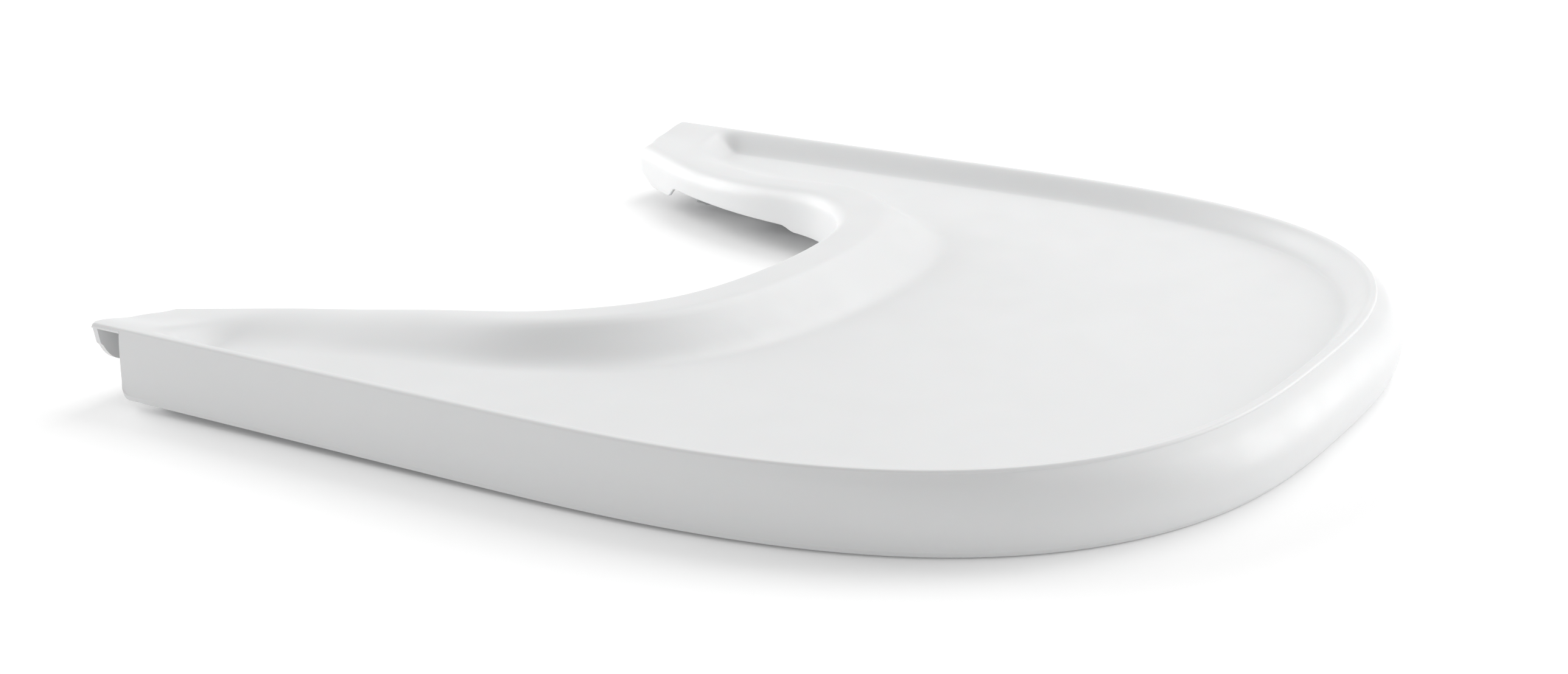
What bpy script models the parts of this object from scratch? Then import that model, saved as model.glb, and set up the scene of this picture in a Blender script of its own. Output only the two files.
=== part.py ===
"""Clip-on tray for a high chair: one moulded tray with two arms round the child,
and under each arm a rail guide with a squeeze latch, held by screws.

Frame: the origin is on the floor under the middle of the tray, +Z up, -Y towards the
rounded front and +Y towards the child. Lengths below are in millimetres and are turned
into metres once, in to_metres.
"""
import math

import bmesh
import bpy
import numpy as np

MM = 0.001

# Outline of the rim's crest, in plan
HALF_WIDTH = 232.0        # from the middle to the crest on each side
BACK_Y = 243.5            # straight back edges of the two arms
FRONT_Y = -235.0          # foremost point of the crest
STRAIGHT_TO_Y = 40.0      # the sides are straight behind this line
SIDE_POWER = 2.8          # superellipse powers of the rounded front
FRONT_POWER = 3.0
ORIGIN_Y = -3.0           # middle of the whole length, where the frame's origin is

# Edge of the cut-out for the child, from the middle to the arm's back edge
CUTOUT_POINTS = ((0, 33), (36, 35), (66, 41), (88, 51), (105, 66), (117, 84), (124, 106),
                 (129, 129), (136, 152), (145, 174), (155, 194), (167, 213), (186, BACK_Y))
CORNER_RADIUS = 8.0      # where the cut-out's edge turns into the back edge

# Heights
WALL_HEIGHT = 33.0        # crest to the wall's lower edge
BACK_LIFT = 4.0           # how much higher the wall's lower edge is at the back than in front
RECESS_DEPTH = 11.0       # crest to the tray's floor
SKIN = 2.8                # thickness of the floor
WALL = 2.7                # thickness of the walls
CREST_RADIUS = 1.5
RIM_RUN = 12.5            # plan width of the slope inside the rim
SHOULDER_RADIUS = 8.0     # rounded top of the wall round the cut-out
BACK_EDGE_RADIUS = 1.0
BACK_RADIUS_X = (190.0, 210.0)           # the radius changes along the back edge between these
HUMP_RISE = 4.6           # the hump round the cut-out is this much above the crest in front
HUMP_DROP = 3.9           # and this much below it at the ends of the arms
HUMP_FALL_Y = (40.0, 185.0)              # it falls between these
HUMP_TOP_FRONT, HUMP_TOP_ARM = 26.0, 19.0                         # cut-out's edge to the slope's top
HUMP_TOE_FRONT, HUMP_TOE_ARM, HUMP_TOE_END = 50.0, 45.0, 38.0     # and to its foot
ARM_FROM_TO_Y = (50.0, 160.0)            # the top's place changes from front to arm between these
TOE_ARM_Y, TOE_END_Y = (20.0, 60.0), (145.0, 195.0)               # and the foot's place between these
RIDGE_FRONT, RIDGE_ARM = 7.0, 18.0       # length over which the slope's top is rounded
TOE_BLEND = 12.0                         # and its foot
CROWN = 1.2               # how far the hump's top falls towards the cut-out
RIM_FADE = 1.6            # how soon the hump's height is lost towards the rim
RIM_FLAT = 1.2            # level strip at the crest
RECESS_END_Y = 210.0      # the recess ends before the arm does, on a slant, here at this x
RECESS_END_X = 205.0
RECESS_END_SLANT = 0.1
RECESS_END_RUN = 13.0
RECESS_END_BLEND = 6.0
SIDE_BULGE = 1.6          # how far the wall stands out below the crest
FRONT_BULGE = 19.0
BULGE_FROM_TO = (300.0, 560.0)           # along the rim, from the arm's back edge
WALL_END_Y = 226.5        # the side wall ends before the arm does
WALL_END_RADIUS = 3.0
INNER_WALL_DROP = 22.5    # crest to the lower edge of the wall round the cut-out
ARM_WALL_DROP = 26.5      # the same near the ends of the arms
NOTCH_DROP = 20.0         # the same in the shallow finger notch
NOTCH_FROM_Y, NOTCH_TO_Y = 98.0, 199.0
NOTCH_RUN = 9.0
END_WALL_DROP = 20.5      # crest to the lower edge of the arm's end wall
END_DROP_Y = (226.0, 242.0)              # the cut-out's wall takes that height between these
END_WALL_CORNER_X = 218.0  # from here the end wall's edge curves up to the outer corner

# Underside
RIB_BOTTOM_Z = 13.5
RIB_THICKNESS = 2.0
GUIDE_X0, GUIDE_X1 = 203.5, 229.0
GUIDE_Y0, GUIDE_Y1 = 72.0, 214.0
GUIDE_BOTTOM_Z, GUIDE_TOP_Z = 2.3, 15.2
FLANGE_X0 = 178.0
FLANGE_BOTTOM_Z = 12.8
SLOT_X0, SLOT_X1 = 206.5, 226.0
LIP_TOP_Z = 4.4
LIP_REACH = 4.0
PIVOT = (190.0, 158.0)
LEVER_Z0, LEVER_Z1 = 7.2, 12.2
PADDLE_TOP_Z = 19.0
COVER_Z0, COVER_Z1 = 4.6, 6.6
GAP = 0.3                 # between pieces that touch
GUIDE_SCREWS = ((190.0, 80.0), (190.0, 112.0), (188.0, 208.0))
COVER_POSTS = ((196.0, 142.0), (184.0, 193.0))
SPRING_Y, SPRING_Z = 126.0, 9.7
SPRING_SEAT_X = 176.0
FOOT_YS = (92.0, 196.0)

COLOURS = {
    "tray_plastic": ((0.87, 0.875, 0.875), 0.45, 0.0),
    "guide_plastic": ((0.62, 0.63, 0.64), 0.5, 0.0),
    "lever_plastic": ((0.36, 0.38, 0.40), 0.45, 0.0),
    "rubber": ((0.10, 0.10, 0.105), 0.8, 0.0),
    "steel": ((0.62, 0.62, 0.63), 0.3, 1.0),
}


# ---------------------------------------------------------------- general helpers

def to_metres(x, y, z):
    return (x * MM, (y - ORIGIN_Y) * MM, z * MM)


def material(name):
    made = bpy.data.materials.get(name)
    if made:
        return made
    colour, roughness, metallic = COLOURS[name]
    made = bpy.data.materials.new(name)
    made.use_nodes = True
    shader = made.node_tree.nodes["Principled BSDF"]
    shader.inputs["Base Color"].default_value = (*colour, 1.0)
    shader.inputs["Roughness"].default_value = roughness
    shader.inputs["Metallic"].default_value = metallic
    made.diffuse_color = (*colour, 1.0)
    return made


def mesh_object(name, points, faces, material_name, origin=(0.0, ORIGIN_Y, 0.0)):
    """An object from points in millimetres, with its origin at the point given."""
    base = to_metres(*origin)
    placed = [tuple(a - b for a, b in zip(to_metres(*p), base)) for p in points]
    mesh = bpy.data.meshes.new(name)
    mesh.from_pydata(placed, [], faces)
    shaped = bmesh.new()
    shaped.from_mesh(mesh)
    bmesh.ops.remove_doubles(shaped, verts=shaped.verts, dist=0.000005)
    bmesh.ops.recalc_face_normals(shaped, faces=shaped.faces)
    shaped.to_mesh(mesh)
    shaped.free()
    mesh.materials.append(material(material_name))
    mesh.shade_smooth()
    mesh.set_sharp_from_angle(angle=math.radians(35))
    made = bpy.data.objects.new(name, mesh)
    made.location = base
    bpy.context.scene.collection.objects.link(made)
    return made


def prism(name, outline, z0, z1, material_name, origin=(0.0, ORIGIN_Y, 0.0)):
    """A plan outline, anticlockwise, raised from z0 to z1."""
    count = len(outline)
    points = [(x, y, z0) for x, y in outline] + [(x, y, z1) for x, y in outline]
    faces = [tuple(reversed(range(count))), tuple(range(count, 2 * count))]
    faces += [(i, (i + 1) % count, (i + 1) % count + count, i + count) for i in range(count)]
    return mesh_object(name, points, faces, material_name, origin)


def circle(x, y, radius, count=20):
    turn = 2 * math.pi / count
    return [(x + radius * math.cos(i * turn), y + radius * math.sin(i * turn)) for i in range(count)]


def rounded_box(x0, y0, x1, y1, radius, steps=4):
    corners = ((x1 - radius, y1 - radius, 0), (x0 + radius, y1 - radius, 90),
               (x0 + radius, y0 + radius, 180), (x1 - radius, y0 + radius, 270))
    outline = []
    for cx, cy, start in corners:
        for i in range(steps + 1):
            angle = math.radians(start + 90 * i / steps)
            outline.append((cx + radius * math.cos(angle), cy + radius * math.sin(angle)))
    return outline


def mirrored(outline, side):
    """The outline on the right arm (side 1) or mirrored to the left arm (side -1)."""
    if side > 0:
        return list(outline)
    return [(-x, y) for x, y in reversed(outline)]


def combine(target, tools, operation):
    """Join tools to the target, or cut them from it, and remove the tools."""
    for tool in tools:
        step = target.modifiers.new(operation, "BOOLEAN")
        step.operation = operation
        step.solver = "EXACT"
        step.object = tool
    bpy.context.view_layer.update()
    graph = bpy.context.evaluated_depsgraph_get()
    result = bpy.data.meshes.new_from_object(target.evaluated_get(graph))
    target.modifiers.clear()
    target.data = result
    for tool in tools:
        bpy.data.objects.remove(tool)
    result.shade_smooth()
    result.set_sharp_from_angle(angle=math.radians(35))


# ---------------------------------------------------------------- outlines in plan

def smooth(t):
    t = min(1.0, max(0.0, t))
    return t * t * (3 - 2 * t)


def rise(value, span):
    """From 0 at the start of the span to 1 at its end, level at both."""
    return smooth((value - span[0]) / (span[1] - span[0]))


def rim_outline():
    """The right half of the crest, from the arm's back corner to the middle of the front."""
    points = [(HALF_WIDTH, y) for y in np.linspace(BACK_Y, STRAIGHT_TO_Y, 60)]
    depth = STRAIGHT_TO_Y - FRONT_Y
    for angle in np.linspace(0, math.pi / 2, 140)[1:]:
        x = HALF_WIDTH * max(0.0, math.cos(angle)) ** (2 / SIDE_POWER)
        points.append((x, STRAIGHT_TO_Y - depth * math.sin(angle) ** (2 / FRONT_POWER)))
    return np.array(points)


def spline(points, steps=30):
    """A natural cubic through the points; it is level at the first, in the middle of the tray."""
    points = np.array(points, float)
    gaps = np.hypot(*np.diff(points, axis=0).T)
    count = len(points)
    system = np.zeros((count, count))
    right = np.zeros((count, 2))
    system[0, 0] = 1
    right[0] = (1, 0)
    system[-1, -1], system[-1, -2] = 2, 1
    right[-1] = 3 * (points[-1] - points[-2]) / gaps[-1]
    for i in range(1, count - 1):
        before, after = gaps[i - 1], gaps[i]
        system[i, i - 1:i + 2] = after, 2 * (before + after), before
        right[i] = 3 * (after * (points[i] - points[i - 1]) / before
                        + before * (points[i + 1] - points[i]) / after)
    slopes = np.linalg.solve(system, right)
    drawn = []
    for i in range(count - 1):
        for t in np.linspace(0, 1, steps, endpoint=False):
            drawn.append((2 * t**3 - 3 * t**2 + 1) * points[i] + (3 * t**2 - 2 * t**3) * points[i + 1]
                         + gaps[i] * ((t**3 - 2 * t**2 + t) * slopes[i] + (t**3 - t**2) * slopes[i + 1]))
    drawn.append(points[-1])
    return np.array(drawn)


def cutout_outline():
    """The right half of the cut-out's edge, from the middle to the end of the round corner."""
    side = spline(CUTOUT_POINTS)
    along = side[-1] - side[-8]
    along /= np.hypot(*along)
    turn = math.atan2(along[1], along[0])
    centre_y = BACK_Y - CORNER_RADIUS
    normal = np.array((along[1], -along[0]))
    # the corner's centre is on the line that runs beside the edge at the corner's radius
    reach = (centre_y - side[-1][1] - normal[1] * CORNER_RADIUS) / along[1]
    centre = side[-1] + along * reach + normal * CORNER_RADIUS
    touch = centre - normal * CORNER_RADIUS
    kept = [p for p in side if p[1] < touch[1] - 1.0]
    start = math.pi / 2 + turn
    arc = [centre + CORNER_RADIUS * np.array((math.cos(a), math.sin(a)))
           for a in np.linspace(start, math.pi / 2, 16)]
    return np.array(kept + arc)


RIM = rim_outline()
CUTOUT = cutout_outline()
BACK_EDGE = np.array((CUTOUT[-1], (HALF_WIDTH + CREST_RADIUS, BACK_Y)))
EDGE = np.vstack((CUTOUT, BACK_EDGE[1:]))


def nearest(outline, points):
    """The distance from each point to the outline, and the nearest point on it."""
    points = np.asarray(points, float)
    starts, ends = outline[:-1], outline[1:]
    runs = ends - starts
    spans = (runs ** 2).sum(1)
    share = ((points[:, None] - starts) * runs).sum(2) / spans
    share = np.clip(share, 0, 1)
    feet = starts + share[..., None] * runs
    gaps = np.hypot(*(points[:, None] - feet).transpose(2, 0, 1))
    best = gaps.argmin(1)
    rows = np.arange(len(points))
    return gaps[rows, best], feet[rows, best]


def arc_lengths(outline):
    return np.concatenate(([0.0], np.cumsum(np.hypot(*np.diff(outline, axis=0).T))))


def point_at(outline, lengths, distance):
    return np.array((np.interp(distance, lengths, outline[:, 0]),
                     np.interp(distance, lengths, outline[:, 1])))


def cutout_x(y, inward=0.0):
    """Where the cut-out's edge, moved inward by the wall, crosses the line at y."""
    runs = np.gradient(CUTOUT, axis=0)
    runs /= np.hypot(*runs.T)[:, None]
    moved = CUTOUT + inward * np.column_stack((runs[:, 1], -runs[:, 0]))
    rising = moved[:, 1] > STRAIGHT_TO_Y
    return float(np.interp(y, moved[rising][:, 1], moved[rising][:, 0]))


# ---------------------------------------------------------------- heights of the shell

def crest_z(y):
    return WALL_HEIGHT + BACK_LIFT * (y - FRONT_Y) / (BACK_Y - FRONT_Y)


def edge_radius(foot_x, foot_y):
    """Radius of the top edge: generous round the cut-out, fine along the arm's back edge."""
    if foot_y < BACK_Y - CORNER_RADIUS:
        return SHOULDER_RADIUS
    return SHOULDER_RADIUS + (BACK_EDGE_RADIUS - SHOULDER_RADIUS) * rise(foot_x, BACK_RADIUS_X)


def ramp(reach, start, end, top_blend, toe_blend):
    """From 0 at the start to 1 at the end in a straight slope, rounded over a length at each."""
    def bend(past, blend):
        if past <= -blend / 2:
            return 0.0
        return past if past >= blend / 2 else (past + blend / 2) ** 2 / (2 * blend)
    return (bend(reach - start, top_blend) - bend(reach - end, toe_blend)) / (end - start)


def surface(points):
    """Height of the top surface above the crest, and how much its rounded edge takes off."""
    from_rim, _ = nearest(RIM, points)
    from_edge, feet = nearest(EDGE, points)
    from_cutout, _ = nearest(CUTOUT, points)
    heights = []
    for (x, y), rim, edge, foot, inner in zip(points, from_rim, from_edge, feet, from_cutout):
        on_arm = rise(y, ARM_FROM_TO_Y)
        hump = HUMP_RISE - (HUMP_RISE + HUMP_DROP) * rise(y, HUMP_FALL_Y)
        top = HUMP_TOP_FRONT + (HUMP_TOP_ARM - HUMP_TOP_FRONT) * on_arm
        toe = (HUMP_TOE_FRONT + (HUMP_TOE_ARM - HUMP_TOE_FRONT) * rise(y, TOE_ARM_Y)
               + (HUMP_TOE_END - HUMP_TOE_ARM) * rise(y, TOE_END_Y))
        ridge = RIDGE_FRONT + (RIDGE_ARM - RIDGE_FRONT) * on_arm
        fade = smooth(RIM_FADE * rim / (rim + inner + 0.01))
        base = hump * fade - CROWN * max(0.0, 1 - inner / top) ** 2
        before_end = RECESS_END_Y + RECESS_END_SLANT * (abs(x) - RECESS_END_X) - y
        recess = (smooth((rim - RIM_FLAT) / RIM_RUN) * ramp(inner, top, toe, ridge, TOE_BLEND)
                  * ramp(before_end, 0, RECESS_END_RUN, RECESS_END_BLEND, RECESS_END_BLEND))
        height = base - (RECESS_DEPTH + base) * recess
        radius = edge_radius(*foot)
        rounding = 0.0
        if edge < radius:
            rounding = radius - math.sqrt(radius ** 2 - (radius - edge) ** 2)
        heights.append((height, rounding))
    return heights


def bulge(along, share):
    """How far the outer wall stands out, at a share of its height below the crest."""
    amount = SIDE_BULGE + (FRONT_BULGE - SIDE_BULGE) * rise(along, BULGE_FROM_TO)
    return amount * (2.18 * share - 1.68 * share ** 2)


def inner_wall_drop(y):
    """From the crest to the lower edge of the wall round the cut-out."""
    notch = smooth((y - NOTCH_FROM_Y) / NOTCH_RUN) * smooth((NOTCH_TO_Y + NOTCH_RUN - y) / NOTCH_RUN)
    beside = INNER_WALL_DROP if y < (NOTCH_FROM_Y + NOTCH_TO_Y) / 2 else ARM_WALL_DROP
    drop = beside + (NOTCH_DROP - beside) * notch
    end = rise(y, END_DROP_Y)
    return drop + (END_WALL_DROP - drop) * end


def end_wall_drop(x):
    """From the crest to the lower edge of the arm's end wall, which curves up at the outside."""
    if x <= END_WALL_CORNER_X:
        return END_WALL_DROP
    share = min(1.0, (x - END_WALL_CORNER_X) / (HALF_WIDTH - END_WALL_CORNER_X))
    return SKIN + (END_WALL_DROP - SKIN) * math.sqrt(1 - share ** 2)


def wall_drop(y):
    """From the crest to the side wall's lower edge, with the round corner at the wall's end."""
    if y > WALL_END_Y:
        return SKIN
    into = y - (WALL_END_Y - WALL_END_RADIUS)
    if into <= 0:
        return WALL_HEIGHT
    return WALL_HEIGHT - WALL_END_RADIUS + math.sqrt(WALL_END_RADIUS ** 2 - into ** 2)


# ---------------------------------------------------------------- the shell

RIM_LINES = (0.0, 1.3, 3.2, 7.0, 11.0, 14.5)
EDGE_LINES = (0.0, 1.0, 3.5, 8.2, 15.0, 22.0, 28.0, 38.0, 49.0, 58.0, 68.0)
KEPT_EDGE = 9.0           # lines nearer the edge than this are never squeezed together
FLOOR_LINES = 1
OUTER_SHARES = (1.0, 0.97, 0.75, 0.5, 0.25)
CREST_ANGLES = (0, 45)


def station_ends():
    """The two ends of each section across the right half: a place on the rim and on the edge."""
    end_lines = [BACK_Y - d for d in (0.0, 0.5, 1.6, WALL, WALL + 0.05, 5.0, 8.0, 11.0)]
    wall_end = [WALL_END_Y + 0.05, WALL_END_Y, WALL_END_Y - 0.9, WALL_END_Y - 1.9, WALL_END_Y - WALL_END_RADIUS]
    arm = [218, 212, 206, 202, 198, 194, 188, 178, 166, 154, 142, 130, 118, 104, 98, 90]
    rim_lengths = arc_lengths(RIM)
    cutout_lengths = arc_lengths(CUTOUT)
    ends = []
    for y in end_lines + wall_end + arm:
        along = BACK_Y - y
        ends.append((np.array((HALF_WIDTH, y)), np.array((cutout_x(y), y)), along))
    rim_from = BACK_Y - arm[-1]
    edge_from = float(np.interp(arm[-1], CUTOUT[:, 1], cutout_lengths))
    sections = 22
    for i in range(1, sections + 1):
        share = i / sections
        along = rim_from + (rim_lengths[-1] - rim_from) * share
        on_edge = point_at(CUTOUT, cutout_lengths, edge_from * (1 - share))
        ends.append((point_at(RIM, rim_lengths, along), on_edge, along))
    return ends


def outward(place):
    """Unit vector square to the rim at a place on it, pointing away from the tray."""
    if place[1] >= STRAIGHT_TO_Y:
        return np.array((1.0, 0.0))
    if place[0] < 0.01:
        return np.array((0.0, -1.0))
    x, y = place
    depth = STRAIGHT_TO_Y - FRONT_Y
    slope = np.array((SIDE_POWER * (x / HALF_WIDTH) ** (SIDE_POWER - 1) / HALF_WIDTH,
                      -FRONT_POWER * ((STRAIGHT_TO_Y - y) / depth) ** (FRONT_POWER - 1) / depth))
    return slope / np.hypot(*slope)


def section(rim_place, edge_place, along):
    """One closed loop of points round the shell's section."""
    out = outward(rim_place)
    y = rim_place[1]
    across = edge_place - rim_place
    width = np.hypot(*across)
    across /= width
    slant = max(0.6, -float(across @ out))
    rim_reach = [a / slant for a in RIM_LINES]
    runs = np.gradient(CUTOUT, axis=0)
    _, foot = nearest(CUTOUT, [edge_place])
    index = int(np.abs(CUTOUT - foot[0]).sum(1).argmin())
    square = np.array((runs[index][1], -runs[index][0]))
    square /= np.hypot(*square)
    edge_slant = max(0.75, abs(float(across @ square)))
    limit = width - rim_reach[-1] - 8.0
    wanted = EDGE_LINES[-1] / edge_slant
    squeeze = min(1.0, (limit - KEPT_EDGE) / (wanted - KEPT_EDGE))
    edge_reach = []
    for b in EDGE_LINES:
        b /= edge_slant
        edge_reach.append(b if b <= KEPT_EDGE else KEPT_EDGE + (b - KEPT_EDGE) * squeeze)
    reaches = list(rim_reach)
    floor_from, floor_to = rim_reach[-1], width - edge_reach[-1]
    reaches += list(np.linspace(floor_from, floor_to, FLOOR_LINES + 2)[1:-1])
    reaches += [width - b for b in reversed(edge_reach)]
    plan = [rim_place + across * r for r in reaches]
    tops = surface(plan)
    loop = []
    drop = wall_drop(y)
    back_rounding = tops[0][1]
    for share in OUTER_SHARES:
        depth = CREST_RADIUS + share * (drop - CREST_RADIUS)
        stand = bulge(along, depth / WALL_HEIGHT) - (0.7 if share == 1.0 else 0.0)
        place = rim_place + out * (CREST_RADIUS + stand)
        loop.append((*place, crest_z(y) - depth - back_rounding * (1 - share)))
    for angle in CREST_ANGLES:
        turn = math.radians(angle)
        place = rim_place + out * CREST_RADIUS * math.cos(turn)
        loop.append((*place, crest_z(y) - CREST_RADIUS * (1 - math.sin(turn)) - back_rounding))
    for place, (height, rounding) in zip(plan, tops):
        loop.append((*place, crest_z(place[1]) + height - rounding))
    # the wall round the cut-out and the underside, back to the outer wall
    solid_end = y >= BACK_Y - WALL
    edge_bottom = inner_wall_drop(edge_place[1])
    loop.append((*edge_place, crest_z(edge_place[1]) - edge_bottom + 0.6))
    inner_face = edge_place - across * WALL / edge_slant
    if y > BACK_Y - CORNER_RADIUS - 2 and not solid_end:
        inner_face = np.array((cutout_x(y, WALL), y))
    near_edge = edge_place - across * 0.6
    loop.append((*near_edge, crest_z(near_edge[1]) - edge_bottom))
    loop.append((*inner_face, crest_z(inner_face[1]) - edge_bottom))
    under = [inner_face - across * 0.05] + list(reversed(plan[2:-3:2]))
    outer_face = rim_place + out * (CREST_RADIUS - WALL)
    for place, (height, rounding) in zip(under, surface(under)):
        if solid_end:
            loop.append((*place, crest_z(place[1]) - end_wall_drop(place[0])))
        else:
            loop.append((*place, crest_z(place[1]) + height - rounding - SKIN))
    top_drop = end_wall_drop(outer_face[0]) if solid_end else SKIN + 0.2
    loop.append((*outer_face, crest_z(y) - top_drop))
    for share in (0.35, 0.7, 1.0):
        depth = top_drop + share * (drop - top_drop) if drop > SKIN + 1 else top_drop
        place = rim_place + out * (CREST_RADIUS - WALL + bulge(along, depth / WALL_HEIGHT))
        loop.append((*place, crest_z(y) - depth))
    return loop


def tray_shell():
    right = [section(*ends) for ends in station_ends()]
    left = [[(-x, y, z) for x, y, z in loop] for loop in reversed(right[:-1])]
    loops = right + left
    size = len(loops[0])
    points = [p for loop in loops for p in loop]
    faces = []
    for i in range(len(loops) - 1):
        for j in range(size):
            k = (j + 1) % size
            faces.append((i * size + j, i * size + k, (i + 1) * size + k, (i + 1) * size + j))
    last = (len(loops) - 1) * size
    faces.append(tuple(reversed(range(size))))
    faces.append(tuple(range(last, last + size)))
    shell = mesh_object("tray_shell", points, faces, "tray_plastic")
    combine(shell, ribs() + bosses(), "UNION")
    combine(shell, boss_holes(), "DIFFERENCE")
    return shell


def underside_z(x, y):
    (height, _), = surface([(abs(x), y)])
    return crest_z(y) + height - SKIN


def rib(x0, y0, x1, y1):
    """A straight rib under the floor, from one end to the other."""
    run = np.array((x1 - x0, y1 - y0))
    side = np.array((-run[1], run[0])) / np.hypot(*run) * RIB_THICKNESS / 2
    corners = [(x0, y0) - side, (x1, y1) - side, (x1, y1) + side, (x0, y0) + side]
    points = [(x, y, RIB_BOTTOM_Z) for x, y in corners]
    points += [(x, y, crest_z(y) - RECESS_DEPTH - SKIN / 2) for x, y in corners]
    faces = [(3, 2, 1, 0), (4, 5, 6, 7)] + [(i, (i + 1) % 4, (i + 1) % 4 + 4, i + 4) for i in range(4)]
    return mesh_object("rib", points, faces, "tray_plastic")


def ribs():
    made = [rib(x, -30.0 - abs(x) * 0.1, x, -205.0 + abs(x) * 0.22) for x in (-140, -70, 0, 70, 140)]
    made += [rib(-172.0, y, 172.0, y) for y in (-120.0, -60.0)]
    return made


def bosses():
    made = []
    for side in (1, -1):
        for x, y in GUIDE_SCREWS:
            top = underside_z(x, y) + SKIN / 2
            made.append(prism("boss", circle(side * x, y, 4.2, 16), GUIDE_TOP_Z + GAP, top, "tray_plastic"))
    return made


def boss_holes():
    return [prism("boss_hole", circle(side * x, y, 1.9, 12), GUIDE_TOP_Z - 1, 21.0, "tray_plastic")
            for side in (1, -1) for x, y in GUIDE_SCREWS]


# ---------------------------------------------------------------- rail guide and what it holds

def rail_guide(name, side):
    """A channel for the chair's side rail, open below between two lips, with a flange."""
    lip0, lip1 = GUIDE_X0 + 3 + LIP_REACH, GUIDE_X1 - 3 - LIP_REACH
    profile = ((GUIDE_X0, GUIDE_BOTTOM_Z), (lip0, GUIDE_BOTTOM_Z), (lip0, LIP_TOP_Z), (SLOT_X0, LIP_TOP_Z),
               (SLOT_X0, FLANGE_BOTTOM_Z), (SLOT_X1, FLANGE_BOTTOM_Z), (SLOT_X1, LIP_TOP_Z),
               (lip1, LIP_TOP_Z), (lip1, GUIDE_BOTTOM_Z), (GUIDE_X1, GUIDE_BOTTOM_Z),
               (GUIDE_X1, GUIDE_TOP_Z), (FLANGE_X0, GUIDE_TOP_Z), (FLANGE_X0, FLANGE_BOTTOM_Z),
               (GUIDE_X0, FLANGE_BOTTOM_Z))
    count = len(profile)
    points = [(side * x, y, z) for y in (GUIDE_Y0, GUIDE_Y1) for x, z in profile]
    faces = [tuple(range(count)), tuple(reversed(range(count, 2 * count)))]
    faces += [(i, i + count, (i + 1) % count + count, (i + 1) % count) for i in range(count)]
    guide = mesh_object(name, points, faces, "guide_plastic")
    window = prism("window", mirrored(rounded_box(202, 178, 208, 196, 1.0), side), 6.6, 12.6, "guide_plastic")
    holes = [prism("hole", circle(side * x, y, 1.9, 12), 12, 16, "guide_plastic") for x, y in GUIDE_SCREWS]
    holes += [prism("hole", circle(side * x, y, 1.5, 12), 12, 16, "guide_plastic") for x, y in COVER_POSTS]
    holes.append(prism("hole", circle(side * PIVOT[0], PIVOT[1], 2.5), 12, 16, "guide_plastic"))
    combine(guide, [window] + holes, "DIFFERENCE")
    return guide


def latch_lever(name, side):
    """A paddle for the fingers and a tooth that enters the rail slot, on one hub."""
    origin = (side * PIVOT[0], PIVOT[1], (LEVER_Z0 + LEVER_Z1) / 2)

    def solid(outline, z0=LEVER_Z0, z1=LEVER_Z1):
        return prism(name, mirrored(outline, side), z0, z1, "lever_plastic", origin)

    lever = solid(circle(*PIVOT, 6.5, 24))
    lever.name = name
    tooth_arm = ((186.0, 160.0), (195.5, 156.5), (203.2, 179.5), (210.5, 184.0), (210.5, 187.5),
                 (207.5, 189.5), (198.0, 189.5), (195.0, 184.0))
    paddle_arm = ((163.0, 116.0), (169.5, 116.0), (175.5, 132.0), (194.0, 153.0), (187.0, 163.0),
                  (163.0, 131.0))
    seat = ((166.0, SPRING_Y - 4), (SPRING_SEAT_X, SPRING_Y - 4), (SPRING_SEAT_X, SPRING_Y + 4),
            (166.0, SPRING_Y + 4))
    paddle = rounded_box(158.5, 102.0, 163.5, 146.0, 1.8)
    combine(lever, [solid(tooth_arm), solid(paddle_arm), solid(seat, LEVER_Z0 + 0.2, LEVER_Z1 - 0.2),
                    solid(paddle, LEVER_Z0 - 0.2, PADDLE_TOP_Z)], "UNION")
    combine(lever, [solid(circle(*PIVOT, 2.5), LEVER_Z0 - 2, LEVER_Z1 + 2)], "DIFFERENCE")
    return lever


def latch_cover(name, side):
    """The plate under the latch, with two posts that stand it off the guide's flange."""
    cover = prism(name, mirrored(rounded_box(178.5, 135.0, 203.0, 200.0, 5.0), side),
                  COVER_Z0, COVER_Z1, "guide_plastic")
    posts = [prism("post", circle(side * x, y, 3.4), COVER_Z0 + 0.4, FLANGE_BOTTOM_Z - GAP, "guide_plastic")
             for x, y in COVER_POSTS]
    combine(cover, posts, "UNION")
    holes = [prism("hole", circle(side * x, y, 1.5, 12), COVER_Z0 - 1, FLANGE_BOTTOM_Z + 1, "guide_plastic")
             for x, y in COVER_POSTS]
    holes.append(prism("hole", circle(side * PIVOT[0], PIVOT[1], 2.5), COVER_Z0 - 1, COVER_Z1 + 1,
                       "guide_plastic"))
    combine(cover, holes, "DIFFERENCE")
    return cover


def turned(name, x, y, profile, material_name, count=20):
    """A solid turned about a vertical axis from (radius, z) pairs, lowest first."""
    points, rings = [], []
    for radius, z in profile:
        rings.append(len(points))
        points += [(px, py, z) for px, py in circle(x, y, radius, count)]
    faces = [tuple(reversed(range(count))), tuple(range(rings[-1], rings[-1] + count))]
    for low, high in zip(rings, rings[1:]):
        faces += [(low + i, low + (i + 1) % count, high + (i + 1) % count, high + i) for i in range(count)]
    return mesh_object(name, points, faces, material_name)


def screw(name, x, y, head_top, head_radius, shank_radius, shank_top):
    """A pan-head screw driven upwards: head below, shank above."""
    head_low = head_top - head_radius * 0.6
    profile = ((head_radius * 0.72, head_low), (head_radius * 0.93, head_low + head_radius * 0.14),
               (head_radius, head_low + head_radius * 0.36), (head_radius, head_top),
               (shank_radius, head_top), (shank_radius, shank_top - 0.6), (shank_radius * 0.6, shank_top))
    return turned(name, x, y, profile, "steel", 16)


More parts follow.
